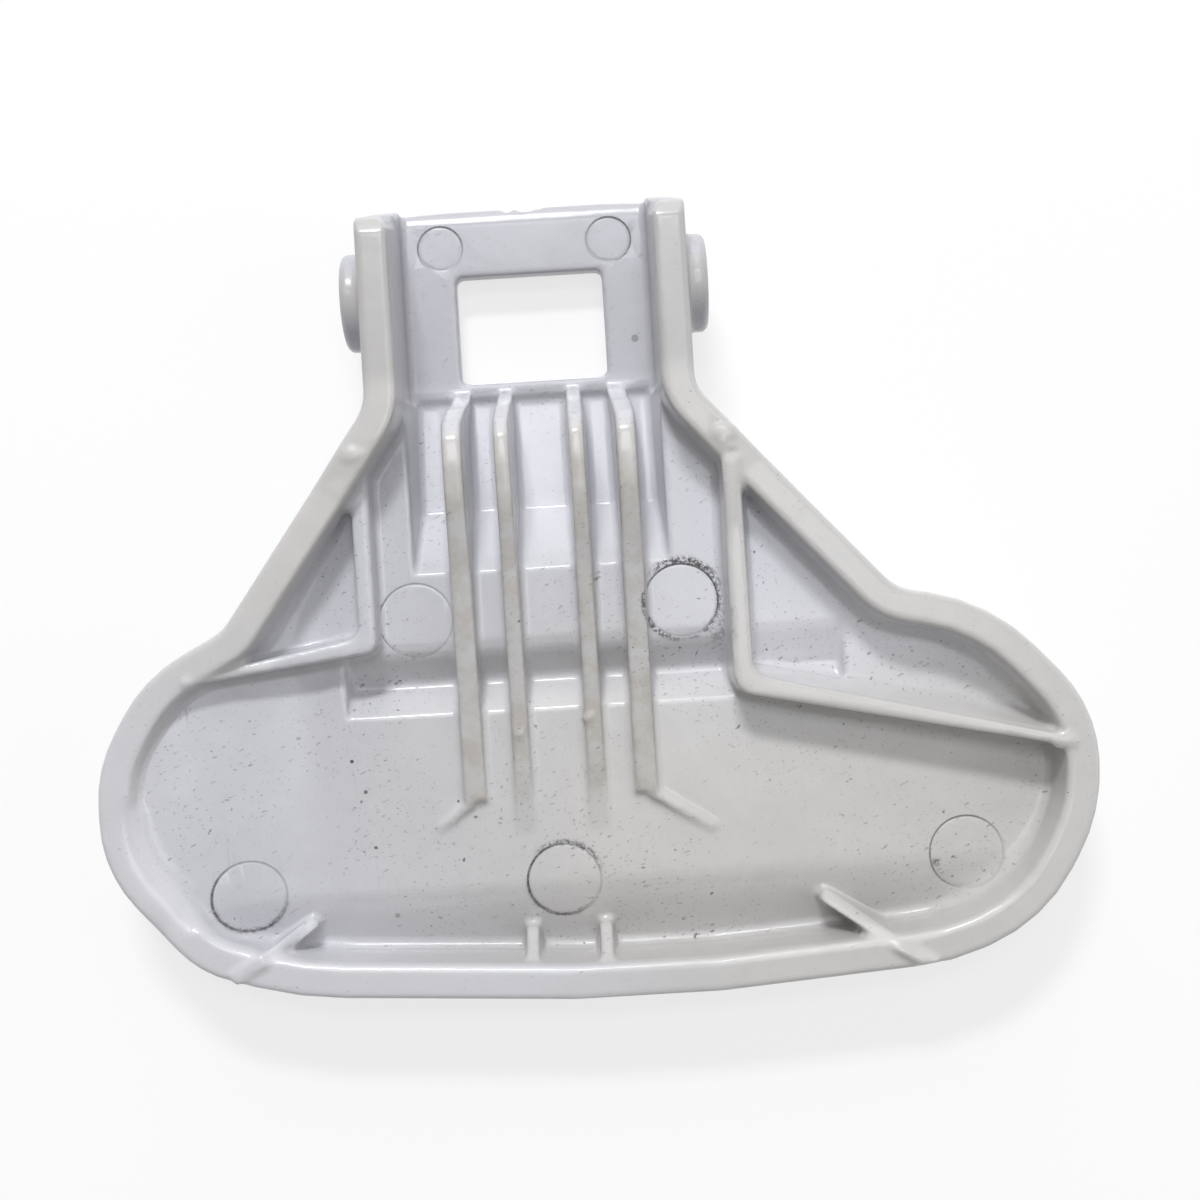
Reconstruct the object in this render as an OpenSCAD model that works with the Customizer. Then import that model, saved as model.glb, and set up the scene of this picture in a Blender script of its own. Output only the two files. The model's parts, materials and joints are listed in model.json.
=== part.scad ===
// Washing machine door handle: one injection moulding in white gloss plastic.
// The ribbed inner side looks up and the smooth outer side lies on the table.
// Two pivot bosses on the ears carry the handle in the door frame, the window
// in the tab catches the latch hook, and fingers pull on the two lobes.
// The sketch frame has the pivot axis along X through the origin, the grip
// towards -Y and the inner face of the grip plate at Z = 0.

/* [Outline] */
// Width of the tab across the outer faces of its ears
tab_w = 35; // [32:0.5:40]
// From the pivot axis to the end of the tab
tab_reach = 11; // [10:0.5:13]
// From the pivot axis to the neck, where the tab widens into the grip
neck_reach = 12; // [10:0.5:15]
// From the pivot axis to the shoulders, where the lobes begin
shoulder_reach = 34.5; // [32.5:0.5:37]
// From the pivot axis to the lower edge of the grip
grip_reach = 76.4; // [73:0.2:82]
// From the middle of the tab to the end of the left lobe
left_reach = 48.2; // [44:0.2:54]
// From the middle of the tab to the end of the right lobe
right_reach = 57.8; // [52:0.2:64]

/* [Heights] */
// Height of the rim above the grip plate
rim_h = 5.5; // [4.5:0.1:7]
// Extra height of the rim along the ears
ear_rise = 0.5; // [0.2:0.1:1]
// How far the ears lean back from the end of the tab to their tops
ear_lean = 2.8; // [2:0.1:3.5]
// Radius of the ears' top corners, seen from the side
ear_top_r = 2; // [1:0.1:2.5]
// Radius of the inner corners of the ears' ends, seen from above
ear_corner_r = 2.2; // [1:0.1:2.6]
// Depth of the tab floor below the grip plate
tab_drop = 6; // [5:0.1:8]
// Depth of the pocket below the tab floor, at the ledge
pocket_drop = 0.9; // [0.5:0.1:2]
// Fall of the grip plate towards its lower edge
edge_fall = 3.5; // [2:0.1:5]
// Height of the rim above the floor at the end of the left lobe
left_wall_h = 1.5; // [1.2:0.1:3]

/* [Walls] */
// Thickness of the floors
wall = 2.5; // [2:0.1:3]
// Width of the rim
rim_w = 3.5; // [3:0.1:4.5]
// Draft of the inner walls, in degrees
draft = 3; // [1:0.5:5]
// Draft of the inner faces of the ears, in degrees
ear_draft = 1.5; // [0.5:0.5:3]
// Radius of the outer edge
edge_r = 2.4; // [1.5:0.1:3]
// Radius of the edges along the top of the rim
rim_r = 0.5; // [0.3:0.1:1]
// Radius of the fillet between the floor and the rim
fillet_r = 0.8; // [0.5:0.1:1.5]
// Radius of the cove between the floor and the rim along the lower edge
cove_r = 3; // [1.5:0.1:4]

/* [Pivot bosses] */
// Diameter of the bosses
boss_d = 10.6; // [8:0.2:11.6]
// How far a boss stands out from its ear
boss_len = 2.2; // [1.5:0.1:4]
// Chamfer on the end of a boss
boss_chamfer = 0.5; // [0.3:0.1:1]
// Depth of the pivot axis below the grip plate
boss_drop = 1; // [0:0.1:1.5]

/* [Latch window] */
// Width of the window
window_w = 16.4; // [12:0.2:20]
// Length of the window
window_l = 12; // [9:0.2:13]
// From the pivot axis to the middle of the window
window_reach = 2.8; // [2:0.1:3]
// Radius of the window's corners
window_r = 0.7; // [0.4:0.1:1.5]

/* [Pocket] */
// Width of the pocket behind the window
pocket_w = 27.8; // [26:0.2:28.6]
// Draft of the pocket's side walls, in degrees
pocket_draft = 7; // [3:0.5:10]
// From the pivot axis to the foot of the ledge
ledge_reach = 11; // [10:0.2:12]
// From the pivot axis to the foot of the ramp
ramp_reach = 23.2; // [20:0.2:25]
// From the pivot axis to the ridge at the top of the ramp
ridge_reach = 30; // [28:0.2:33]

/* [Long ribs] */
// Thickness of the two outer long ribs at their tops
outer_rib_w = 2.1; // [1.5:0.1:2.6]
// Thickness of the two inner long ribs at their tops
inner_rib_w = 1.6; // [1.2:0.1:2]
// Distance between the two outer long ribs
outer_rib_gap = 18.6; // [16:0.2:21]
// Distance between the two inner long ribs
inner_rib_gap = 8; // [6:0.2:10]
// Height of the long ribs above the grip plate where they are highest
rib_h = 4.6; // [3:0.1:5.4]
// Height of the long ribs above the grip plate at their lower ends
rib_end_h = 0.8; // [0.5:0.1:1.5]
// From the pivot axis to the blunt ends of the outer long ribs
outer_rib_reach = 55.2; // [50:0.2:60]
// From the pivot axis to the tapered ends of the inner long ribs
inner_rib_reach = 59.6; // [52:0.2:64]

/* [Cross groove] */
// From the pivot axis to the upper edge of the groove
groove_reach = 37.4; // [36:0.2:38.4]
// Width of the groove
groove_w = 7.9; // [7.6:0.1:9.5]
// Depth of the groove
groove_h = 2.7; // [1.5:0.1:3.2]
// Depth of the groove past the right finger rib
groove_end_h = 1.2; // [0.6:0.1:1.6]
// From the middle of the tab to the left end of the groove
groove_left = 22; // [21.5:0.2:24]
// From the middle of the tab to the right end of the groove
groove_right = 32; // [26:0.2:33]

/* [Finger ribs] */
// Thickness of the bent finger ribs at their tops
finger_rib_w = 1.9; // [1.2:0.1:2.4]
// Height of the left finger rib above the grip plate
left_rib_h = 2.9; // [2.2:0.1:4]
// Height of the right finger rib above the grip plate
right_rib_h = 5; // [4:0.1:5.4]
// From the middle of the tab to the upright leg of the left finger rib
left_rib_x = 19; // [18.4:0.1:19.8]
// From the middle of the tab to the upright leg of the right finger rib
right_rib_x = 20.8; // [20:0.1:22]
// Width of the hollow fillet along the upper side of the right finger rib
finger_fillet = 1.4; // [0.9:0.1:2]
// Thickness of the small edge ribs
edge_rib_w = 1.3; // [0.8:0.1:1.8]

/* [Hidden] */
white = [0.93, 0.92, 0.91];
arc_step = 10;
straight_step = 5;
// Keeps a rounding error from adding a step to some rings of a loft and not to others
tiny = 0.01;
overlap = 0.6;
// Cuts reach this far past the surfaces that they open
above = 1;
rim_z = rim_h + ear_rise;
tab_z = -tab_drop;
pocket_z = tab_z - pocket_drop;
ramp_z = tab_z + 0.3;
ledge_run = 1.4;
groove_top = -groove_reach;
groove_low = -groove_reach - groove_w;
groove_slope = 3;
// From the upper edge of the groove down its rounded, steep upper side to its floor
groove_run = 4.3;
// How far below the plate the ribs start where they cross the groove, by y
groove_feet = [
    [groove_low - 0.5, wall / 2],
    [groove_low + groove_slope / 2, groove_h + wall / 2],
    [groove_top - 2, groove_h + wall / 2],
    [groove_top + 0.5, wall / 2]
];
// The grip plate starts to curve down here
bend_reach = grip_reach - 13;
// The left end of the grip plate starts to curve up here, and rises by this much
rise_reach = left_reach - 24;
left_rise = rim_h - left_wall_h;
// The curved end is drawn in this many strips, whose inner edges step inwards by this much
rise_strips = 6;
strip_step = 0.12;
// The window and the long ribs lie about a line this far to the right of the tab's middle
rib_axis = 0.6;
// Half the width of the neck block that holds the pocket
block_half = pocket_w / 2 + wall * 0.8;
// Radius of the corners of the bars that the small ribs are made from
bar_r = 0.35;
// How far those bars widen to each side at their foot
foot_grow = 0.3;
// How far a rib that crosses the rim stands up from it
rib_lap = 0.3;
spur_w = 0.8;

// Corners of the outline, clockwise from the tab's end: x, y and radius.
// The two lobes differ, as on the real handle.
outline = [
    [-tab_w / 2, tab_reach - 0.6, 2],
    [-tab_w / 4, tab_reach, 10],
    [tab_w / 4, tab_reach, 10],
    [tab_w / 2, tab_reach - 0.6, 2],
    [tab_w / 2, -neck_reach, 4],
    [right_reach - 20.4, -shoulder_reach, 5],
    [right_reach - 10.5, -shoulder_reach - 2, 20],
    [right_reach, -shoulder_reach - 13.8, 15],
    [right_reach, -grip_reach + 17, 20],
    [right_reach - 6.8, -grip_reach + 5.8, 18],
    [right_reach - 16.8, -grip_reach + 2, 24],
    [(right_reach - left_reach) / 2 + 4, -grip_reach, 120],
    [-left_reach + 20.2, -grip_reach + 2.4, 40],
    [-left_reach + 9.7, -grip_reach + 5.6, 12],
    [-left_reach, -grip_reach + 16.9, 14],
    [-left_reach, -shoulder_reach - 14, 15],
    [-left_reach + 5.6, -shoulder_reach - 4.7, 16],
    [-left_reach + 14.2, -shoulder_reach - 0.3, 5],
    [-tab_w / 2, -neck_reach, 5]
];

function xy(p) = [p.x, p.y];
function unit(v) = v / norm(v);
function right_of(v) = [v.y, -v.x];
function turned(v, a) = [v.x * cos(a) - v.y * sin(a), v.x * sin(a) + v.y * cos(a)];
function way(keys, i) =
    let (n = len(keys))
    unit(xy(keys[(i + 1) % n]) - xy(keys[i % n]));
function side_len(keys, i) =
    let (n = len(keys))
    norm(xy(keys[(i + 1) % n]) - xy(keys[i % n]));
function turn_at(keys, i) =
    let (u = way(keys, i + len(keys) - 1), v = way(keys, i))
    atan2(cross(u, v), u * v);
function tangent_len(keys, i) = keys[i % len(keys)].z * tan(abs(turn_at(keys, i)) / 2);

// A corner's radius, made smaller where its neighbours leave it no room
function fitted_r(keys, i) =
    let (
        n = len(keys),
        own = tangent_len(keys, i),
        before = own + tangent_len(keys, i + n - 1),
        after = own + tangent_len(keys, i + 1)
    )
    keys[i % n].z * min(1, 0.97 * side_len(keys, i + n - 1) / before, 0.97 * side_len(keys, i) / after);

// The arc round corner i of a clockwise outline that is moved inwards
function corner(keys, i, inset) =
    let (
        n = len(keys),
        u = way(keys, i + n - 1),
        v = way(keys, i),
        turn = turn_at(keys, i),
        side = turn < 0 ? 1 : -1,
        r = max(fitted_r(keys, i) - side * inset, 0.3),
        tip = xy(keys[i % n]) + (right_of(u) + right_of(v)) / (1 + u * v) * inset,
        middle = tip - u * r * tan(abs(turn) / 2) + right_of(u) * r * side,
        steps = max(1, ceil(abs(turn) / arc_step - tiny))
    )
    [for (s = [0:steps]) middle - turned(right_of(u) * side * r, turn * s / steps)];

function last(list) = list[len(list) - 1];

// A closed outline with round corners, moved inwards
function ring(keys, inset) = [
    for (i = [0:len(keys) - 1])
        let (
            arc = corner(keys, i, inset),
            next = corner(keys, i + 1, inset)[0],
            plain_len = norm(corner(keys, i + 1, 0)[0] - last(corner(keys, i, 0))),
            steps = max(1, ceil(plain_len / straight_step - tiny))
        )
        each concat(arc, [for (s = [1:1:steps - 1]) last(arc) + (next - last(arc)) * s / steps])
];

// The same outline as points in space, with the height given by a function of the point
function lifted(keys, inset, height) = [for (p = ring(keys, inset)) [p.x, p.y, height(p)]];

// Triangles that close a ring: two chains run down its sides, and each step takes
// the chain whose next point lies farther back
function zipped(points, back, i, j) =
    j - i < 2 ? []
    : (points[i + 1] - points[j - 1]) * back > 0
        ? concat([[j, i, i + 1]], zipped(points, back, i + 1, j))
        : concat([[j - 1, j, i]], zipped(points, back, i, j - 1));

// A solid through rings of equally many points, closed at both ends. Its ends are
// ruled across the direction back, which points to where the rings begin.
module lofted(rings, back = [0, 1, 0]) {
    n = len(rings[0]);
    top = (len(rings) - 1) * n;
    sides = [
        for (k = [0:len(rings) - 2], i = [0:n - 1])
            let (a = k * n + i, b = k * n + (i + 1) % n)
            each [[a, b, b + n], [a, b + n, a + n]]
    ];
    foot_cap = [for (t = zipped(rings[0], back, 0, n - 1)) [t.z, t.y, t.x]];
    head_cap = [for (t = zipped(last(rings), back, 0, n - 1)) [t.x + top, t.y + top, t.z + top]];
    polyhedron([for (r = rings) each r], concat(sides, foot_cap, head_cap), convexity = 10);
}

// The direction from the end of a bar back to its start
function back_along(keys) =
    let (way = keys[0] - keys[len(keys) / 2])
    [way.x, way.y, 0];

// A drafted bar: its outline is wider at the foot, and both heights follow the place
module drafted(keys, low, high, foot_grow) {
    lofted([
        lifted(keys, -foot_grow, low),
        lifted(keys, 0, high)
    ], back_along(keys));
}

// A side view, drawn as points of y and z, given a width along X
module side_cut(points, x_low, x_high) {
    translate([x_low, 0, 0])
        rotate([90, 0, 90])
            linear_extrude(x_high - x_low)
                polygon(points);
}

// An end view, drawn as points of x and z, given a length along Y
module end_cut(points, y_low, y_high) {
    translate([0, y_high, 0])
        rotate([90, 0, 0])
            linear_extrude(y_high - y_low)
                polygon(points);
}

// How far a value has come on its way from one place to another, from 0 to 1
function share(value, from, to) = max(0, min(1, (value - from) / (to - from)));
function eased(t) = t * t * (3 - 2 * t);

// How far the grip plate has fallen towards its lower edge
function fall(p) = edge_fall * eased(share(-p.y, bend_reach, grip_reach - rim_w));

// Height of the grip plate's inner face, which curves up to the rim at the left end
function plate_z(p) = left_rise * eased(share(-p.x, rise_reach, left_reach - rim_w)) - fall(p);

// Height of the outer face: under the tab it is deeper than under the grip
function outer_z(p) =
    p.y > -neck_reach + 1 ? tab_z - wall
    : p.y > -neck_reach - 3 ? lookup(p.y, [[-neck_reach - 3, -wall], [-neck_reach + 1, tab_z - wall]])
    : left_rise * eased(share(-p.x, rise_reach, left_reach)) - fall(p) - wall;

// Height of the rim: the ears stand a little higher and run out on the slopes
function rim_top(p) = rim_h + lookup(p.y, [[-neck_reach - 8, 0], [-neck_reach - 5, ear_rise]]);

// Where strip k of the curved left end begins: a ring is cut off at this x, so that
// the face between two such rings follows the curve
function strip_x(k) = -left_reach + rim_w + (left_reach - rim_w - rise_reach) * k / rise_strips;
function cut_off(points, k, height) = [
    for (q = points)
        let (p = [max(q.x, strip_x(k)), q.y])
        [p.x, p.y, height(p)]
];

// The rings of the outer side, from the outer face round its edge and up to the rim
function outer_rings() = [
    for (k = [rise_strips:-1:1])
        cut_off(ring(outline, edge_r + k * strip_step), k, function (p) outer_z(p)),
    for (a = [0:30:90])
        lifted(outline, edge_r * (1 - sin(a)), function (p) outer_z(p) + edge_r * (1 - cos(a))),
    for (a = [0:45:90])
        lifted(outline, rim_r * (1 - cos(a)), function (p) rim_top(p) - rim_r * (1 - sin(a)))
];

// Radius of the fillet at the foot of the rim: small at the sides, a broad cove
// along the lower edge, and never more than the wall has room for
function foot_r(p) =
    min(
        lookup(p.y, [[-grip_reach + 7, cove_r], [-grip_reach + 15, fillet_r]]),
        (rim_h - rim_r - plate_z(p)) * 0.8
    );

// The foot of the rim's drafted inner wall, moved inwards by a function of the place
function foot_ring(extra) =
    let (
        inset = rim_w + rim_h * tan(draft),
        foot = ring(outline, inset),
        next = ring(outline, inset + 1)
    )
    [for (i = [0:len(foot) - 1]) foot[i] + (next[i] - foot[i]) * extra(foot[i])];

// The rings of the inner side, from the rim down its wall and fillet to the floor
function inner_rings() = [
    for (a = [90:-45:0])
        lifted(outline, rim_w - rim_r * (1 - cos(a)), function (p) rim_top(p) - rim_r * (1 - sin(a))),
    for (a = [0:30:90])
        [
            for (p = foot_ring(function (p) foot_r(p) * (1 - cos(a))))
                [p.x, p.y, plate_z(p) + foot_r(p) * (1 - sin(a))]
        ],
    for (k = [1:rise_strips])
        cut_off(foot_ring(function (p) foot_r(p) + k * strip_step), k, function (p) plate_z(p))
];

module dish() {
    lofted(concat(outer_rings(), inner_rings()));
}

// What is cut off the ends of the ears, which lean back towards their round top corners
module ear_end_trim() {
    top = tab_reach - ear_lean;
    side_cut([
        [tab_reach - 0.2, tab_z + 0.5],
        [tab_reach - ear_lean * 0.65, 0],
        [top, rim_z - ear_top_r],
        [top - ear_top_r * 0.3, rim_z - ear_top_r * 0.3],
        [top - ear_top_r, rim_z],
        [top - ear_top_r, rim_z + above],
        [tab_reach + above, rim_z + above],
        [tab_reach + above, tab_z + 0.5]
    ], -tab_w, tab_w);
}

// What is rounded off the inner corners of the ears' ends, seen from above
module ear_corner_trim() {
    r = ear_corner_r;
    inner = pocket_w / 2 - 0.1;
    rounding = [for (a = [0:15:90]) [inner + r * (1 - cos(a)), -r * (1 - sin(a))]];
    for (side = [0, 1])
        mirror([side, 0, 0])
            translate([0, tab_reach - ear_lean * 0.65, 0])
                rotate([atan(ear_lean * 0.35 / (rim_z - ear_top_r)), 0, 0])
                    translate([0, 0, -r / 2])
                        linear_extrude(rim_z + r)
                            polygon(concat([[inner - above, -r]], rounding, [[inner + r, r], [inner - above, r]]));
}

// The block that carries the wall round the pocket, on which the handle rests
block_foot = pocket_z - wall;
module pocket_block() {
    bevel = 2;
    intersection() {
        side_cut([
            [-ledge_reach + wall, tab_z],
            [-ledge_reach + wall, tab_z - wall + 0.5],
            [-ledge_reach + wall - 1, block_foot + 0.3],
            [-ledge_reach + wall - 2, block_foot],
            [-ledge_reach - wall, block_foot],
            [-ramp_reach - 0.8, ramp_z - wall],
            [-ridge_reach - 2.2, -wall],
            [-ridge_reach - 2.2, -wall / 2],
            [-neck_reach - 1, -wall / 2]
        ], -block_half, block_half);
        end_cut([
            [-block_half, 0],
            [-block_half, block_foot + bevel],
            [-block_half + bevel * 0.3, block_foot + bevel * 0.3],
            [-block_half + bevel, block_foot],
            [block_half - bevel, block_foot],
            [block_half - bevel * 0.3, block_foot + bevel * 0.3],
            [block_half, block_foot + bevel],
            [block_half, 0]
        ], -ridge_reach - wall, 0);
    }
}

// The tab's floor runs out over a round nose, given as points of y and z
nose_r = 1.8;
nose = [for (a = [0:30:90]) [tab_reach - nose_r * (1 - cos(a)), tab_z - nose_r * (1 - sin(a))]];

// The room between the ears, or between the side walls of the pocket, from end to end
module channel_slot(side_draft, y_low, y_high) {
    half = pocket_w / 2;
    side_slope = tan(side_draft) * (above - pocket_z);
    ear_slope = tan(ear_draft) * (rim_z + above);
    end_cut([
        [-half - ear_slope, rim_z + above],
        [-half, 0],
        [-half + side_slope, pocket_z - above],
        [half - side_slope, pocket_z - above],
        [half, 0],
        [half + ear_slope, rim_z + above]
    ], y_low, y_high);
}

// What is hollowed out of the tab and the pocket, down to their floors
module channel_hollow() {
    intersection() {
        side_cut([
            [tab_reach + above, rim_z + above],
            [tab_reach + above, tab_z - nose_r],
            each nose,
            [-ledge_reach + ledge_run, tab_z],
            [-ledge_reach + ledge_run / 2, tab_z - 0.2],
            [-ledge_reach, pocket_z],
            [-ramp_reach, ramp_z],
            [-ridge_reach, 0],
            [-ridge_reach, rim_z + above]
        ], -tab_w, tab_w);
        union() {
            channel_slot(ear_draft, -ledge_reach, tab_reach + 2 * above);
            channel_slot(pocket_draft, -ridge_reach - above, -ledge_reach);
        }
    }
}

module latch_window() {
    x = window_w / 2;
    y = window_l / 2;
    keys = [[-x, y, window_r], [x, y, window_r], [x, -y, window_r], [-x, -y, window_r]];
    translate([rib_axis / 2, -window_reach, tab_z - wall - above])
        linear_extrude(wall + 2 * above)
            polygon(ring(keys, 0));
}

// One pivot boss, along +X from the ear's outer face
module pivot_boss() {
    translate([tab_w / 2 - overlap, 0, -boss_drop])
        rotate([0, 90, 0]) {
            cylinder(h = boss_len + overlap - boss_chamfer, d = boss_d, $fn = 96);
            translate([0, 0, boss_len + overlap - boss_chamfer])
                cylinder(h = boss_chamfer, d1 = boss_d, d2 = boss_d - 2 * boss_chamfer, $fn = 96);
        }
}

// One long rib: its side view, cut to a section that widens to its foot. It rises
// steeply from the ledge, is highest over the pocket and falls along the grip.
module long_rib(x, w, reach, end_run) {
    foot = pocket_z - above;
    flare = (rib_h - foot) * tan(draft * 0.6);
    intersection() {
        side_cut([
            [-ledge_reach + ledge_run - 0.2, foot],
            [-ledge_reach + ledge_run - 0.4, tab_z + 0.2],
            [-ledge_reach - 0.3, tab_z / 2],
            [-ledge_reach - 1.3, 0.2],
            [-ledge_reach - 2.8, rib_h - 1.4],
            [-ledge_reach - 4.8, rib_h - 0.3],
            [-ledge_reach - 7.5, rib_h],
            [-ledge_reach - 11, rib_h - 0.3],
            [-ridge_reach, rib_h * 0.6],
            [groove_low, rib_end_h + 0.5],
            [-reach + end_run, rib_end_h],
            [-reach, -0.1],
            [-reach, foot]
        ], x - w, x + w);
        end_cut([
            [x - w / 2, rib_h],
            [x - w / 2 - flare, foot],
            [x + w / 2 + flare, foot],
            [x + w / 2, rib_h]
        ], -reach, 0);
    }
}

module long_ribs() {
    for (side = [-1, 1]) {
        long_rib(rib_axis + side * outer_rib_gap / 2, outer_rib_w, outer_rib_reach, 0.4);
        long_rib(rib_axis + side * inner_rib_gap / 2, inner_rib_w, inner_rib_reach, 7);
    }
}

// Side view of the groove at one depth: the plate rounds over into a steep upper
// side, and a plain slope leads from the narrow floor back up to the plate
function groove_side(depth) = [
    [groove_top, above],
    [groove_top, 0],
    [groove_top - 1, -depth * 0.08],
    [groove_top - 1.8, -depth * 0.25],
    [groove_top - groove_run + 0.3, 0.2 - depth],
    [groove_top - groove_run, -depth],
    [groove_low + groove_slope, -depth],
    [groove_low, 0],
    [groove_low, above]
];

// The cross groove, which is shallow to the right of the finger rib
module cross_groove() {
    intersection() {
        union() {
            side_cut(groove_side(groove_h), -groove_left - 1, right_rib_x);
            side_cut(groove_side(groove_end_h), right_rib_x - 0.1, groove_right + 1);
        }
        end_cut([
            [-groove_left - 0.3, above],
            [-groove_left, -0.5],
            [-groove_left + 0.8, -groove_h - above],
            [groove_right - 1, -groove_h - above],
            [groove_right, -0.5],
            [groove_right + 0.6, above]
        ], groove_low - 1, groove_top + 1);
    }
}

// The low bar that the groove raises on the outer face, where the wall runs round it
module groove_bar() {
    foot = -wall / 2;
    crest = -groove_h - wall;
    intersection() {
        side_cut([
            [groove_top + 1, foot],
            [groove_top + 1, -wall],
            [groove_top - 2.4, crest + 0.4],
            [groove_top - 3, crest],
            [groove_low + groove_slope / 2, crest],
            [groove_low + groove_slope / 2 - 0.6, crest + 0.4],
            [groove_low - wall, -wall],
            [groove_low - wall, foot]
        ], -groove_left - wall, groove_right + wall);
        end_cut([
            [-groove_left - wall, foot],
            [-groove_left - wall, -wall],
            [-groove_left, crest],
            [groove_right, crest],
            [groove_right + wall, -wall],
            [groove_right + wall, foot]
        ], groove_low - wall, groove_top + wall);
    }
}

// Height inside the plate's wall at which the ribs on it start
rib_foot = function (p)
    plate_z(p) - (abs(p.x - (groove_right - groove_left) / 2) < (groove_left + groove_right) / 2 + 1
        ? lookup(p.y, groove_feet)
        : wall / 2);

// The room that the long ribs may fill, which starts a little under the floors
module rib_room() {
    bend_steps = 5;
    bend = [
        for (s = [0:bend_steps])
            let (y = -grip_reach + (grip_reach - bend_reach) * s / bend_steps)
            [y, plate_z([0, y])]
    ];
    groove = [
        [groove_low, 0],
        [groove_low + groove_slope, -groove_h],
        [groove_top - groove_run, -groove_h],
        [groove_top - 1, 0]
    ];
    pocket = [
        [-ridge_reach, 0],
        [-ramp_reach, ramp_z],
        [-ledge_reach, pocket_z],
        [-ledge_reach + ledge_run, tab_z]
    ];
    floors = [for (p = concat(bend, groove, pocket)) [p.x, p.y - overlap]];
    side_cut(concat(floors, [[0, rim_z], [-grip_reach, rim_z]]), -pocket_w / 2, pocket_w / 2);
}

// Corners of a bar that runs from a to b and on to c, clockwise, with its width at each
function bent_bar(a, b, c, w_a, w_b, w_c, r) =
    let (
        side_1 = right_of(unit(b - a)),
        side_2 = right_of(unit(c - b)),
        mitre = (side_1 + side_2) / (1 + side_1 * side_2)
    )
    [
        for (q = [
            [a - side_1 * w_a / 2, bar_r],
            [b - mitre * w_b / 2, r],
            [c - side_2 * w_c / 2, bar_r],
            [c + side_2 * w_c / 2, bar_r],
            [b + mitre * w_b / 2, r],
            [a + side_1 * w_a / 2, bar_r]
        ]) [q[0].x, q[0].y, q[1]]
    ];

// Corners of a straight bar from a to b, clockwise
function straight_bar(a, b, w) =
    let (side = right_of(unit(b - a)) * w / 2)
    [for (q = [a - side, b - side, b + side, a + side]) [q.x, q.y, bar_r]];

// A hollow fillet of width w and height h along the left side of a rib that runs
// from a to b, where half is half the rib's thickness
module side_fillet(a, b, half, w, h) {
    out = right_of(unit(a - b));
    steps = [[w, 0], [w * 0.9, 0.05], [w * 0.5, 0.25], [w * 0.2, 0.5], [-0.1, 0.8]];
    lofted([
        for (s = steps)
            let (reach = half + s[0], bar = straight_bar(a + out * reach / 2, b + out * reach / 2, reach))
            lifted(bar, 0, function (p) s[1] == 0 ? rib_foot(p) : plate_z(p) + s[1] * h)
    ], [a.x - b.x, a.y - b.y, 0]);
}

// The bent ribs that stiffen the lobes: an upright leg, a corner, and a long leg
// that climbs to the rim and dies out on its top
module finger_ribs() {
    left_tip = [-left_reach + 9.8, groove_top - 2.6];
    left = bent_bar(
        [-left_rib_x, -neck_reach - 7.5], [-left_rib_x, groove_top + 0.2], left_tip,
        finger_rib_w, finger_rib_w, 0.8, 1.4
    );
    left_top = [
        [left_tip.x, rim_h + rib_lap],
        [left_tip.x + 7, left_rib_h + 0.9],
        [-left_rib_x, left_rib_h]
    ];
    right_tip = [right_reach - 2.6, groove_low - 6.6];
    right_corner = [right_rib_x, groove_low + 1.6];
    right = bent_bar(
        [right_rib_x, -neck_reach - 8], right_corner, right_tip,
        finger_rib_w, finger_rib_w + 0.2, 1, 2.4
    );
    right_top = [
        [right_rib_x, right_rib_h],
        [right_tip.x - 7, right_rib_h + 0.2],
        [right_tip.x, rim_h + rib_lap]
    ];
    drafted(left, rib_foot, function (p) lookup(p.x, left_top), foot_grow);
    drafted(right, rib_foot, function (p) lookup(p.x, right_top), foot_grow);
    side_fillet(right_corner, right_tip, finger_rib_w / 2, finger_fillet, right_rib_h);
}

// Low ribs that rise from the floor to the rim at the lower edge of the grip:
// a slanting pair crosses the rim, and a short pair ends at its inner side
module edge_ribs() {
    y = -grip_reach;
    slanting = [[y + 4.2, rim_h + 2 * rib_lap], [y + 9.8, 0]];
    short = [[y + 4, rim_h - 0.8], [y + 5.6, rim_h - 2.8], [y + 7.5, -0.8]];
    left = straight_bar([-left_reach + 21.4, y + 9.6], [-left_reach + 9.6, y + 1.9], edge_rib_w);
    right = straight_bar([right_reach - 29.6, y + 9.2], [right_reach - 15.2, y - 0.6], edge_rib_w);
    intersection() {
        for (keys = [left, right])
            drafted(keys, rib_foot, function (p) lookup(p.y, slanting), foot_grow);
        translate([0, 0, -grip_reach])
            linear_extrude(2 * grip_reach)
                polygon(ring(outline, rim_r / 2));
    }
    for (x = [rib_axis - inner_rib_gap / 2, rib_axis + inner_rib_gap / 2])
        drafted(
            straight_bar([x, y + 7.4], [x, y + 3], edge_rib_w),
            rib_foot, function (p) lookup(p.y, short), foot_grow
        );
}

// A thin spur of plastic that trails off the blunt end of an outer long rib
module rib_spur(side, run, fall) {
    start = [rib_axis + side * (outer_rib_gap / 2 + 0.2), -outer_rib_reach + 0.3];
    end = start + [side * run, -fall];
    top = [[end.y, 0.15], [start.y, rib_end_h]];
    drafted(straight_bar(start, end, spur_w), rib_foot, function (p) lookup(p.y, top), foot_grow / 2);
}

// How the handle lies: it leans back on the pocket block until the lower edge
// of the grip touches the table. The origin is under the middle of its length.
heel = [-ledge_reach - wall, block_foot];
outer_points = [for (r = outer_rings()) each r];
lay_angle = min([for (p = outer_points) if (p.y < -bend_reach) atan2(p.z - heel.y, heel.x - p.y)]);
function laid_y(y, z) = y * cos(lay_angle) - z * sin(lay_angle);
middle = [
    (right_reach - left_reach) / 2,
    (min([for (p = outer_points) laid_y(p.y, p.z)]) + laid_y(nose[1].x, nose[1].y)) / 2,
    heel.x * sin(lay_angle) + heel.y * cos(lay_angle)
];

module laid() {
    translate(-middle)
        rotate([lay_angle, 0, 0])
            children();
}

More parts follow.
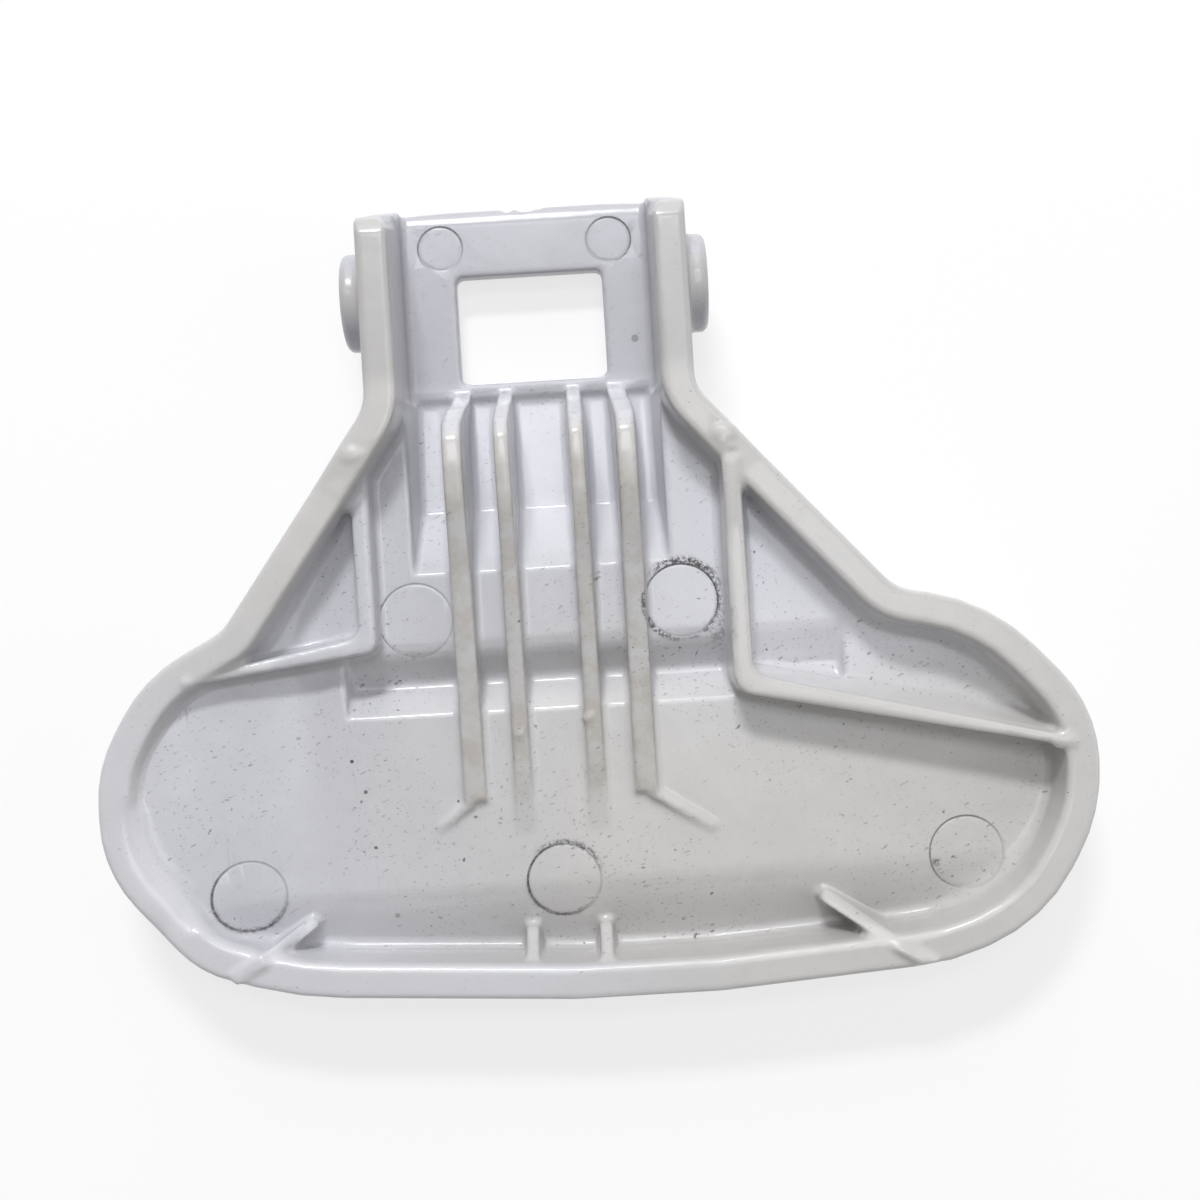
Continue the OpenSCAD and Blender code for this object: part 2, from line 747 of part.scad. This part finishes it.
module handle_moulding() {
    color(white)
        laid() {
            difference() {
                union() {
                    dish();
                    pocket_block();
                    groove_bar();
                }
                channel_hollow();
                cross_groove();
                latch_window();
                ear_end_trim();
                ear_corner_trim();
            }
            intersection() {
                long_ribs();
                rib_room();
            }
            finger_ribs();
            edge_ribs();
            rib_spur(-1, 3.9, 2.9);
            rib_spur(1, 7, 4.5);
            pivot_boss();
            mirror([1, 0, 0]) pivot_boss();
        }
}

handle_moulding();
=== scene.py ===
import json
from math import radians, sqrt

import bmesh
import bpy
from mathutils import Matrix, Vector


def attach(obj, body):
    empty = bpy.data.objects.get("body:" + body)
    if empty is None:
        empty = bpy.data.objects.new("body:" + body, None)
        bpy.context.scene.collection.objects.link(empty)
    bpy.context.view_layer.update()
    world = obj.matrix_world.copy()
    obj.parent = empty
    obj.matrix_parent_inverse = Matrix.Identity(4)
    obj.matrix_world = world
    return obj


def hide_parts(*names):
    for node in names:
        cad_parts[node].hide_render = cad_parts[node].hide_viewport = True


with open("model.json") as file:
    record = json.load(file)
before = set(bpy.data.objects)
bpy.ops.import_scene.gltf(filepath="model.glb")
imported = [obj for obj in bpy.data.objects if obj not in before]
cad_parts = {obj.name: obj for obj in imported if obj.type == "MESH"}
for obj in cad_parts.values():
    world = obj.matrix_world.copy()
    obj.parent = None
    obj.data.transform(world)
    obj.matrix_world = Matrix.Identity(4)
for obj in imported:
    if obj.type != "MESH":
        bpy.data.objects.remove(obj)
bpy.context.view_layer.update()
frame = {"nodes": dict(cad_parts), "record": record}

# The handle lies on its smooth outer face with its ribbed inner side up, and leans
# back on the block under its pocket. Places on it are given in millimetres from the
# pivot axis: x along the axis, y towards the tab, z above the grip plate.
mm = 0.001
lean = radians(3.2416)
axis_below_plate = 1
bosses = [Vector(mount["pos_m"]) for mount in frame["record"]["mounts"]]
pivot = (bosses[0] + bosses[1]) / 2
laid = (
    Matrix.Translation(pivot)
    @ Matrix.Rotation(lean, 4, "X")
    @ Matrix.Diagonal((mm, mm, mm, 1))
    @ Matrix.Translation((0, 0, axis_below_plate))
)
off_plate = laid.inverted()
up = (laid.to_3x3() @ Vector((0, 0, 1))).normalized()

# The camera looks straight down on the grip plate from an arm's length, turned a
# little, as the handle was photographed.
camera_place = (6.09, -33.91, 180)
camera_turn = radians(3.5)
picture_px = 1200
focal_px = 1656
eye = bpy.data.cameras.new("camera")
eye.sensor_width = 36
eye.lens = eye.sensor_width * focal_px / picture_px
eye.clip_start = 0.01
camera = bpy.data.objects.new("camera", eye)
camera.matrix_world = (
    Matrix.Translation(laid @ Vector(camera_place))
    @ Matrix.Rotation(lean, 4, "X")
    @ Matrix.Rotation(-camera_turn, 4, "Z")
)
bpy.context.scene.collection.objects.link(camera)
bpy.context.scene.camera = camera

# The handle is one shot of white plastic. The mould's worn edges leave soft corners
# and small hollow fillets, so the exact form is grown and shrunk again. A few rough
# lumps stand where ribs meet the rim, and some edges are chipped.
merge_reach = 0.002 * mm
voxel = 0.2 * mm
fillet = 0.25 * mm
# Lumps and chips: the place and the reach along x, y and z
lumps = [
    [(-21.0, -20.1, 5.38), (1.5, 1.6, 0.26)],
    [(-19.3, -16.9, 5.88), (1.3, 1.0, 0.26)],
    [(20.2, -17.0, 5.88), (1.4, 1.1, 0.28)],
    [(20.0, -18.0, 5.85), (0.5, 0.4, 0.3)],
    [(20.7, -18.5, 5.75), (0.6, 0.35, 0.25)],
    [(19.9, -18.7, 5.65), (0.35, 0.5, 0.3)],
    [(20.3, -19.4, 5.55), (0.5, 0.35, 0.3)],
    [(-3.6, -47.9, 0.9), (0.75, 0.35, 0.5)],
    [(4.0, -46.5, 1.05), (0.75, 0.6, 0.45)],
    [(53.7, -52.2, 5.1), (0.9, 0.5, 0.36)],
]
# Bars that make ribs stand higher: both ends of the top, the width and the depth
bars = [
    [(20.6, -19.9, 5.85), (20.8, -28, 4.9), 1.75, 1.5],
    [(-26.4, -66.4, -1.0), (-31.6, -69.6, 5.85), 1.0, 1.2],
    [(-31.4, -69.5, 5.9), (-35.0, -71.6, 5.8), 1.4, 1.2],
]
chips = [
    [(-1.7, 10.95, -6.9), (0.7, 0.7, 1.3)],
    [(0.4, 11.0, -6.9), (1.3, 0.8, 1.4)],
    [(1.9, 11.1, -6.8), (0.7, 0.6, 1.2)],
    [(-28.9, -27.2, 5.6), (0.5, 0.4, 0.5)],
]


def added(name, form):
    """Turns a bmesh into an object of the scene."""
    mesh = bpy.data.meshes.new(name)
    form.to_mesh(mesh)
    form.free()
    piece = bpy.data.objects.new(name, mesh)
    bpy.context.scene.collection.objects.link(piece)
    return piece


def shaped(piece, kind, **settings):
    """Adds one modifier to a piece and bakes it into the mesh."""
    modifier = piece.modifiers.new(kind, kind)
    for name, value in settings.items():
        setattr(modifier, name, value)
    bpy.context.view_layer.update()
    baked = piece.evaluated_get(bpy.context.evaluated_depsgraph_get())
    mesh = bpy.data.meshes.new_from_object(baked)
    piece.modifiers.clear()
    piece.data = mesh


def blob(form, place, reach):
    """Adds a small round lump that reaches so far along x, y and z."""
    where = laid @ Matrix.Translation(place) @ Matrix.Diagonal((*reach, 1))
    bmesh.ops.create_icosphere(form, subdivisions=3, radius=1, matrix=where)


def bar(form, start, end, width, depth):
    """Adds a straight bar whose top runs between two places."""
    along = Vector(end) - Vector(start)
    turned = along.to_track_quat("X", "Z").to_matrix().to_4x4()
    size = Matrix.Diagonal((along.length, width, depth, 1))
    sunk = Matrix.Translation((along.length / 2, 0, -depth / 2))
    where = laid @ Matrix.Translation(start) @ turned @ sunk @ size
    bmesh.ops.create_cube(form, size=1, matrix=where)


form = bmesh.new()
for place, reach in chips:
    blob(form, place, reach)
chipped_off = added("chipped_off", form)
form = bmesh.new()
form.from_mesh(frame["nodes"]["handle_moulding"].data)
bmesh.ops.remove_doubles(form, verts=form.verts, dist=merge_reach)
handle = added("handle_body", form)
shaped(
    handle,
    "BOOLEAN",
    operation="DIFFERENCE",
    object=chipped_off,
    solver="EXACT",
    use_self=True,
)
bpy.data.objects.remove(chipped_off)
form = bmesh.new()
form.from_mesh(handle.data)
for place, reach in lumps:
    blob(form, place, reach)
for start, end, width, depth in bars:
    bar(form, start, end, width, depth)
form.to_mesh(handle.data)
form.free()
shaped(handle, "REMESH", mode="VOXEL", voxel_size=voxel)
shaped(handle, "DISPLACE", mid_level=0.0, strength=fillet)
shaped(handle, "REMESH", mode="VOXEL", voxel_size=voxel)
shaped(handle, "DISPLACE", mid_level=0.0, strength=-fillet)
shaped(handle, "REMESH", mode="VOXEL", voxel_size=voxel)
shaped(handle, "SMOOTH", factor=0.5, iterations=2)

# The tops of the ribs came out of the mould round. Ribs: both ends and half the width
# that is smoothed
rib_lines = [
    [(-8.75, -13), (-8.75, -55), 1.4],
    [(-3.45, -13), (-3.45, -57), 1.2],
    [(4.6, -13), (4.6, -57), 1.2],
    [(9.9, -13), (9.9, -55), 1.4],
    [(-19, -20), (-19, -36.5), 1.4],
    [(-19, -37), (-37, -39.8), 1.3],
    [(20.8, -20.5), (20.8, -43.4), 1.4],
    [(21.2, -43.8), (54, -51.8), 1.5],
    [(-26.6, -66.6), (-35, -72), 1.1],
    [(28.4, -67.2), (40, -75.4), 1.1],
]
rib_foot = 0.5
rib_rounds = 12


def from_segment(spot, start, end):
    """Distance of a place from a line between two places, seen from above."""
    along = Vector(end) - Vector(start)
    out = Vector((spot.x, spot.y)) - Vector(start)
    share = max(0, min(1, out.dot(along) / along.length_squared))
    return (out - along * share).length


tops = handle.vertex_groups.new(name="rib_tops")
for point in handle.data.vertices:
    spot = off_plate @ point.co
    on_rib = any(from_segment(spot, start, end) < half for start, end, half in rib_lines)
    if spot.z > rib_foot and on_rib:
        tops.add([point.index], 1.0, "REPLACE")
shaped(handle, "SMOOTH", factor=0.5, iterations=rib_rounds, vertex_group="rib_tops")
handle.vertex_groups.clear()

# The grip's floor curves up to the left rim and falls to the lower edge: how far, and
# the place where it starts with the way that it takes
floor_rise = 4.0
rise_x = (-24.2, -20.5)
floor_fall = 3.5
fall_y = (-63.4, -9.5)
# The voxels' steps are taken out of the left lobe's floor, inside these limits
level = 0.9
lobe_right = (-23, -2)
lobe_top = (-40, -2)
lobe_low = (-65, 3)
voxel_step = (0.25, -0.1)
# The cove between floor and lower wall is tighter than in the solid, except at its ribs
upright = 0.02
cove_r = 3
tight_r = 1.2
cove_left = (-41, 9)
cove_right = (46, -6)
cove_top = (-61, -3)
rib_fade = 0.4
cove_ribs = [
    [(-3.4, -66), (-3.4, -76), 0.8],
    [(4.6, -66), (4.6, -76), 0.8],
    [(27, -66.4), (43, -77.3), 0.75],
    [(-26.4, -66.4), (-38.6, -74.5), 0.65],
]


# Where the long ribs start at the ledge they are narrower and lean towards the middle:
# each rib's x and how far its start stands from it
rib_starts = [(-8.75, 0.9), (-3.45, 0.35), (4.6, -0.1), (9.9, -0.7)]
start_low = (-14.5, 4.8)
start_high = (-9.2, -0.6)
start_side = (2.2, -1.1)
start_pinch = 0.3


def past(value, limit, run):
    """Runs smoothly from 0 at a limit to 1 where the run ends."""
    share = max(0, min(1, (value - limit) / run))
    return share * share * (3 - 2 * share)


def floor_height(spot):
    """Height of the grip's floor under a place."""
    return floor_rise * past(spot.x, *rise_x) - floor_fall * past(spot.y, *fall_y)


def tightened(rise):
    """Height in the tight cove straight under a place of the solid's cove."""
    out = cove_r - sqrt(cove_r**2 - (cove_r - rise) ** 2)
    return tight_r - sqrt(tight_r**2 - max(0, tight_r - out) ** 2)


form = bmesh.new()
form.from_mesh(handle.data)
form.normal_update()
for point in form.verts:
    spot = off_plate @ point.co
    facing = point.normal.dot(up)
    if facing > level and spot.x < lobe_right[0] and lobe_low[0] < spot.y < lobe_top[0]:
        gap = floor_height(spot) - spot.z
        share = past(spot.x, *lobe_right) * past(spot.y, *lobe_top) * past(spot.y, *lobe_low)
        spot.z += gap * share * past(abs(gap), *voxel_step)
        point.co = laid @ spot
    if facing > upright and spot.y < cove_top[0] and cove_left[0] < spot.x < cove_right[0]:
        rise = spot.z - floor_height(spot)
        if 0 < rise < cove_r:
            share = past(spot.x, *cove_left) * past(spot.x, *cove_right) * past(spot.y, *cove_top)
            for start, end, half in cove_ribs:
                share = min(share, past(from_segment(spot, start, end), half, rib_fade))
            spot.z += (tightened(rise) - rise) * share
            point.co = laid @ spot
    if start_low[0] < spot.y < start_high[0]:
        for rib_x, leaning in rib_starts:
            side = spot.x - rib_x
            share = past(spot.y, *start_low) * past(abs(side), *start_side)
            share *= past(spot.y, *start_high)
            spot.x += (leaning - side * start_pinch) * share
        point.co = laid @ spot
form.to_mesh(handle.data)
form.free()

# At the lower left the floor runs up to the rim without a step: the step's two ends,
# and how far from it the form is smoothed
soft_step = [(-45.3, -54.5), (-40.6, -64.4)]
soft_reach = (3.0, -2.2)
soft_facing = 0.2
soft_rounds = 240
slope = handle.vertex_groups.new(name="soft_step")
for point in handle.data.vertices:
    spot = off_plate @ point.co
    out = from_segment(spot, *soft_step)
    if spot.z > 0 and out < soft_reach[0] and point.normal.dot(up) > soft_facing:
        slope.add([point.index], past(out, *soft_reach), "REPLACE")
shaped(handle, "SMOOTH", factor=0.5, iterations=soft_rounds, vertex_group="soft_step")
handle.vertex_groups.clear()

# Seven round pins pushed the hot moulding out of its mould. Each leaves a flat disc
# that lies a hair below the floor, inside a thin witness line.
most_triangles = 190000
pin_sink = 0.05
line_depth = 0.05
line_w = 0.2
finer_reach = 0.7
pin_reach = 1
tab_end = 9.5
rim_foot = 4.6
pin_facing = 0.6
# Pins: x, y and radius
pins = [
    (-9.44, 6.53, 2.5),
    (9.47, 6.5, 2.5),
    (-14.0, -34.9, 4.0),
    (14.9, -34.5, 4.0),
    (-33.5, -63.6, 3.9),
    (0.4, -64.1, 4.0),
    (44.2, -63.7, 4.0),
]


def from_line(point, pin):
    """How far a point lies outside a pin's witness line."""
    x, y, radius = pin
    spot = off_plate @ point
    return Vector((spot.x - x, spot.y - y)).length - radius


def near_pins(form):
    """The points of the inner side that lie close to each pin's mark, with the pin."""
    found = []
    for point in form.verts:
        spot = off_plate @ point.co
        if spot.y > tab_end or spot.z > rim_foot or point.normal.dot(up) < pin_facing:
            continue
        for pin in pins:
            x, y, radius = pin
            if max(abs(spot.x - x), abs(spot.y - y)) < radius + pin_reach:
                found.append((point, pin))
    return found


form = bmesh.new()
form.from_mesh(handle.data)
form.normal_update()
close = {point for point, pin in near_pins(form) if abs(from_line(point.co, pin)) < finer_reach}
edges = [edge for edge in form.edges if edge.verts[0] in close and edge.verts[1] in close]
bmesh.ops.subdivide_edges(form, edges=edges, cuts=1, use_grid_fill=True)
form.normal_update()
for point, pin in near_pins(form):
    out = from_line(point.co, pin)
    sink = pin_sink * past(out, line_w / 2, -line_w)
    sink += line_depth * past(abs(out + line_w / 2), line_w, -line_w)
    point.co -= up * sink * mm
form.to_mesh(handle.data)
form.free()
triangles = sum(len(face.vertices) - 2 for face in handle.data.polygons)
shaped(handle, "DECIMATE", ratio=min(1.0, most_triangles / triangles))
handle.data.shade_smooth()
shaped(handle, "WEIGHTED_NORMAL", mode="FACE_AREA_WITH_ANGLE", weight=50)

# The plastic is white and glossy. Its colour carries painted light: a cool tint for bluish
# light on the left lobe and the upper floors, a warm tint for warm light on the rim and to
# the right, a painted glare in the pocket and on the upper right floors, and painted shade
# on the tab and along the lower edge. The tops of the long ribs are rubbed brown, grime
# sits along the pin marks and dark specks of dust lie on the floors.
class Wire:
    """A value on its way through a material. Sums on it add their own nodes."""

    def __init__(self, paint, socket):
        self.paint = paint
        self.socket = socket

    def math(self, operation, *values):
        return self.paint.node("Math", {"operation": operation}, dict(enumerate(values)))

    def __add__(self, other):
        return self.math("ADD", self, other)

    def __radd__(self, other):
        return self.math("ADD", other, self)

    def __sub__(self, other):
        return self.math("SUBTRACT", self, other)

    def __rsub__(self, other):
        return self.math("SUBTRACT", other, self)

    def __mul__(self, other):
        return self.math("MULTIPLY", self, other)

    def __rmul__(self, other):
        return self.math("MULTIPLY", other, self)

    def __truediv__(self, other):
        return self.math("DIVIDE", self, other)

    def __rtruediv__(self, other):
        return self.math("DIVIDE", other, self)

    def __abs__(self):
        return self.math("ABSOLUTE", self)

    def most(self, other):
        return self.math("MAXIMUM", self, other)

    def step(self, low, high):
        """Runs smoothly from 0 where the value is low to 1 where it is high."""
        settings = {"interpolation_type": "SMOOTHSTEP"}
        return self.paint.node("MapRange", settings, {0: self, 1: low, 2: high, 3: 0.0, 4: 1.0})


class Paint:
    """A material, and the one method that adds a node to it."""

    def __init__(self, name):
        self.material = bpy.data.materials.new(name)
        self.material.use_nodes = True
        self.tree = self.material.node_tree
        self.shader = self.tree.nodes["Principled BSDF"]

    def put(self, socket, value):
        if isinstance(value, Wire):
            self.tree.links.new(value.socket, socket)
        else:
            socket.default_value = value

    def node(self, kind, settings, values, out=0):
        made = self.tree.nodes.new("ShaderNode" + kind)
        for name, value in settings.items():
            setattr(made, name, value)
        for socket, value in values.items():
            self.put(made.inputs[socket], value)
        return Wire(self, made.outputs[out])

    def blend(self, share, under, over, kind="MIX"):
        """Colour that goes from under to over by a share."""
        settings = {"data_type": "RGBA", "blend_type": kind}
        return self.node("Mix", settings, {0: share, 6: under, 7: over}, 2)

    def finish(self, values):
        for socket, value in values.items():
            self.put(self.shader.inputs[socket], value)
        return self.material


plastic = Paint("white_plastic")
on_plate = plastic.node("Mapping", {"vector_type": "POINT"}, {
    "Vector": plastic.node("TexCoord", {}, {}, "Object"),
    "Location": off_plate @ Vector((0, 0, 0)),
    "Rotation": (-lean, 0, 0),
    "Scale": (1 / mm, 1 / mm, 1 / mm),
})
x = plastic.node("SeparateXYZ", {}, {0: on_plate}, "X")
y = plastic.node("SeparateXYZ", {}, {0: on_plate}, "Y")
z = plastic.node("SeparateXYZ", {}, {0: on_plate}, "Z")
seen_from_above = plastic.node("CombineXYZ", {}, {0: x, 1: y})


def noise(scale, detail=3.0, rough=0.5):
    """Noise with so many waves to the millimetre."""
    values = {"Vector": on_plate, "Scale": scale, "Detail": detail, "Roughness": rough}
    return plastic.node("TexNoise", {}, values)


def away(place_x, place_y):
    """Distance from a place, seen from above."""
    values = {0: seen_from_above, 1: (place_x, place_y, 0)}
    return plastic.node("VectorMath", {"operation": "DISTANCE"}, values, "Value")


cloud = noise(0.09, 3)
grain = noise(2.2, 6, 0.75)
fine = noise(3.5, 3, 0.6)

# Painted light tints: cool where bluish light is painted on the left lobe and the upper
# floors, warm where warm light is painted on the rim and to the right
cool_light_white = (0.575, 0.578, 0.606, 1)
warm_light_white = (0.598, 0.585, 0.563, 1)
mottle_grey = (0.84, 0.84, 0.84, 1)
raised = z.step(3.4, 4.4)
upper = y.step(-54, -28)
warm_lit_floor = x.step(-38, 12) * (1 - upper * 0.85)
warm_lit_rim = x.step(-12, 24).most(upper)
warm_light_share = warm_lit_floor * (1 - raised) + warm_lit_rim * raised
# Painted coloured light: the base colour is tinted cool or warm by region
colour = plastic.blend(warm_light_share, cool_light_white, warm_light_white)
mottle = cloud.step(0.3, 0.7) * 0.6 + noise(0.5, 4, 0.6).step(0.35, 0.7) * 0.4
colour = plastic.blend(mottle * 0.4, colour, mottle_grey, "MULTIPLY")

# Painted light and shade: the pocket and the upper right floors are painted brighter as
# glare, and the left rim a little brighter as lit. The tab is painted darker as shade in its
# recess, and the corner along the lower edge darker as shade with a little grime.
painted_glare_white = (0.66, 0.66, 0.69, 1)
lit_rim_white = (0.65, 0.648, 0.66, 1)
shade_grey = (0.82, 0.82, 0.83, 1)
on_tab = y.step(-11, -8)
in_pocket = z.step(-0.9, -1.6) * y.step(-32, -24)
upper_right = x.step(8, 16) * y.step(-48, -40)
painted_glare = upper_right.most(in_pocket) * (1 - raised)
# Painted glare: brighter colour in the pocket and on the upper right floors
colour = plastic.blend(painted_glare * (1 - on_tab) * 0.65, colour, painted_glare_white)
# Painted light: the left rim is made brighter
lit_left_rim = raised * y.step(-36, -52) * x.step(20, -10)
colour = plastic.blend(lit_left_rim * 0.7, colour, lit_rim_white)
# Painted shade: the recessed tab and the corner along the lower edge are darkened; in the corner
# it also stands for a little grime
low_corner = y.step(-66, -71) * x.step(-24, -12) * (1 - x.step(34, 44)) * (1 - raised)
painted_shade = (on_tab * 0.9).most(low_corner * 0.7)
colour = plastic.blend(painted_shade, colour, shade_grey, "MULTIPLY")

# The long ribs' tops are rubbed and a little brown
rubbed_brown = (0.45, 0.425, 0.38, 1)
on_tops = z.step(0.3, 0.8).most(y.step(-16, -13) * z.step(-6.2, -4.5))
over_ribs = abs(x - 0.6).step(11.4, 11.0) * y.step(-60.5, -59.5) * y.step(-13, -24) * on_tops
rubbed = over_ribs * (0.35 + 0.65 * noise(0.3, 5, 0.65).step(0.35, 0.65))
colour = plastic.blend(rubbed * 0.85, colour, rubbed_brown)

# Grime along the pin marks: x, y, radius, width, the side where it is worst, how dark
grime_rings = [
    (-9.44, 6.53, 2.5, 0.13, (-0.3, 0.95), 0.75),
    (9.47, 6.5, 2.5, 0.15, (0.95, 0.3), 0.8),
    (-14.0, -34.9, 4.0, 0.12, (-0.6, -0.6), 0.65),
    (14.9, -34.5, 4.0, 0.16, (0.5, 0.5), 1.0),
    (14.9, -34.5, 4.4, 0.7, (0.25, 0.97), 1.0),
    (14.9, -34.5, 4.1, 0.4, (0.94, -0.34), 0.9),
    (14.9, -34.5, 4.15, 0.5, (-0.85, -0.5), 0.95),
    (-33.5, -63.6, 3.85, 0.2, (-0.6, -0.8), 0.95),
    (-33.5, -63.6, 3.8, 0.5, (0.35, -0.93), 0.7),
    (-33.5, -63.6, 3.8, 0.5, (-0.5, -0.86), 0.5),
    (0.4, -64.1, 4.0, 0.2, (-0.9, -0.3), 1.0),
    (0.4, -64.1, 4.15, 0.55, (0.3, 0.95), 0.85),
    (0.4, -64.1, 4.0, 0.4, (-0.5, -0.85), 0.7),
    (44.2, -63.7, 4.0, 0.16, (-0.9, 0.4), 0.75),
]
thin_line = 0.3
crumbs = grain.step(0.42, 0.56)
dirt = 0
for place_x, place_y, radius, width, (side_x, side_y), dark in grime_rings:
    out = abs(away(place_x, place_y) - radius)
    side = (x * side_x + y * side_y - (place_x * side_x + place_y * side_y)) / radius
    if width > thin_line:
        ring = out.step(width, width * 0.25) * side.step(0.25, 0.9) * crumbs * dark
    else:
        worst = side.step(-0.9, 0.5) * 0.75 + 0.25
        ring = out.step(width, width * 0.4) * worst * (crumbs * 0.3 + 0.7) * dark
    dirt = ring.most(dirt)

# Smears, and small solid spots: x, y, radius, how dark
small_spot = 0.5
spots = [
    (18.9, -38.2, 1.8, 0.6),
    (19.4, -36.4, 1.5, 0.5),
    (40.9, -64.6, 0.7, 0.8),
    (11.8, -4.8, 0.5, 0.5),
    (-21.9, -49.8, 0.24, 1.0),
    (-20.6, -53.2, 0.26, 0.85),
    (-18.1, -67.0, 0.35, 0.45),
    (-7.8, -10.6, 1.1, 0.4),
    (-3.2, -10.6, 1.1, 0.4),
    (4.5, -10.6, 1.1, 0.4),
    (8.9, -10.6, 1.0, 0.25),
]
for place_x, place_y, radius, dark in spots:
    inner, broken = (0.3, crumbs) if radius > small_spot else (0.7, 1)
    dirt = (away(place_x, place_y).step(radius, radius * inner) * broken * dark).most(dirt)

# Specks of dust lie on all faces that look up: how many to the millimetre, their
# length and breadth, the share of places that are bare, and how dark
dirt_grey = (0.085, 0.08, 0.08, 1)
normal = plastic.node("NewGeometry", {}, {}, "Normal")
faces_up = plastic.node("SeparateXYZ", {}, {0: normal}, "Z")
thick_and_thin = noise(0.06, 2).step(0.3, 0.6)
bent = noise(0.5, 2)
flat_cells = {"feature": "F1", "voronoi_dimensions": "2D"}
specks = [
    (1.5, 0.15, 0.11, 0.15, 0.42),
    (0.75, 0.19, 0.14, 0.25, 0.55),
    (0.33, 0.22, 0.18, 0.5, 0.75),
    (0.13, 0.27, 0.24, 0.6, 1.0),
]
for scale, length, breadth, bare, dark in specks:
    along = (x + bent * 3) * (breadth / length)
    across = y + bent * 2 + x * 0.15
    place = plastic.node("CombineXYZ", {}, {0: along, 1: across})
    values = {"Vector": place, "Scale": scale, "Randomness": 1.0}
    distance = plastic.node("TexVoronoi", flat_cells, values, "Distance") / scale
    cell_colour = plastic.node("TexVoronoi", flat_cells, values, "Color")
    chance = plastic.node("SeparateColor", {}, {0: cell_colour}, 0)
    thick = (thick_and_thin * 0.6 + 0.4) * (1 - raised * 0.4)
    size = chance.step(bare, bare + 0.3) * thick * breadth
    speck = (size - distance).step(0, breadth * 0.4) * (crumbs * 0.65 + 0.35)
    dirt = (speck * (1 - on_tab * 0.5) * dark).most(dirt)
dirt = dirt * z.step(-9.8, -9.2) * faces_up.step(0.3, 0.6)
colour = plastic.blend(dirt, colour, dirt_grey)

height = cloud * 0.12 + noise(0.4, 2) * 0.012 + fine * 0.0006
peel = plastic.node("Bump", {}, {"Strength": 1.0, "Distance": mm, "Height": height})
handle.data.materials.clear()
handle.data.materials.append(plastic.finish({
    "Base Color": colour,
    "Roughness": 0.2 + grain * 0.06 + dirt * 0.4,
    "Normal": peel,
    "IOR": 1.5,
}))
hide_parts("handle_moulding")
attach(handle, "root")

# The studio: a pale floor that the camera sees nearly white, a small bright lamp over
# the tab, softer ones above and to the side, and a bright room all round.
floor_reach = 1.5
seen_white = 0.7
form = bmesh.new()
bmesh.ops.create_grid(form, x_segments=1, y_segments=1, size=floor_reach)
floor = added("floor", form)
ground = Paint("pale_floor")
sight = ground.node("LightPath", {}, {}, "Is Camera Ray")
sight = sight.most(ground.node("LightPath", {}, {}, "Is Glossy Ray"))
sight = sight.most(ground.node("LightPath", {}, {}, "Is Transmission Ray"))
ground.finish({"Base Color": (0.9, 0.9, 0.9, 1), "Roughness": 0.9})
white = ground.node("Emission", {}, {"Color": (1, 1, 1, 1), "Strength": 1.0})
lit_floor = Wire(ground, ground.shader.outputs[0])
mixed = ground.node("MixShader", {}, {0: sight * seen_white, 1: lit_floor, 2: white})
ground.put(ground.tree.nodes["Material Output"].inputs["Surface"], mixed)
floor.data.materials.append(ground.material)


lamp_height = 0.9
grip_middle = (0, -34, 0)


def lamp(name, tilt, turn, size, power, colour):
    """A lamp that faces the handle, tilted from above towards the tab and then turned."""
    light = bpy.data.lights.new(name, "AREA")
    light.shape = "RECTANGLE"
    light.size, light.size_y = size
    light.energy = power
    light.color = colour
    lit = bpy.data.objects.new(name, light)
    lit.matrix_world = (
        Matrix.Translation(laid @ Vector(grip_middle))
        @ Matrix.Rotation(lean, 4, "X")
        @ Matrix.Rotation(radians(turn), 4, "Z")
        @ Matrix.Rotation(radians(-tilt), 4, "X")
        @ Matrix.Translation((0, 0, lamp_height))
    )
    lit.visible_camera = False
    bpy.context.scene.collection.objects.link(lit)


lamp("key", 46, 7, (0.2, 0.1), 4.7, (0.985, 0.995, 1.03))
lamp("window", 20, 0, (0.34, 0.12), 1.15, (0.97, 0.99, 1.05))
lamp("ceiling", 9, -75, (0.26, 0.26), 0.75, (0.97, 0.99, 1.05))
lamp("wide", 72, 0, (0.6, 0.6), 2.0, (1, 1, 1))
lamp("side", 60, -90, (0.6, 0.6), 1.1, (1, 1, 1))
room = bpy.data.worlds.new("room")
room.use_nodes = True
room.node_tree.nodes["Background"].inputs["Color"].default_value = (1.02, 1.0, 0.98, 1)
room.node_tree.nodes["Background"].inputs["Strength"].default_value = 0.26
bpy.context.scene.world = room
bpy.context.scene.view_settings.view_transform = "Standard"
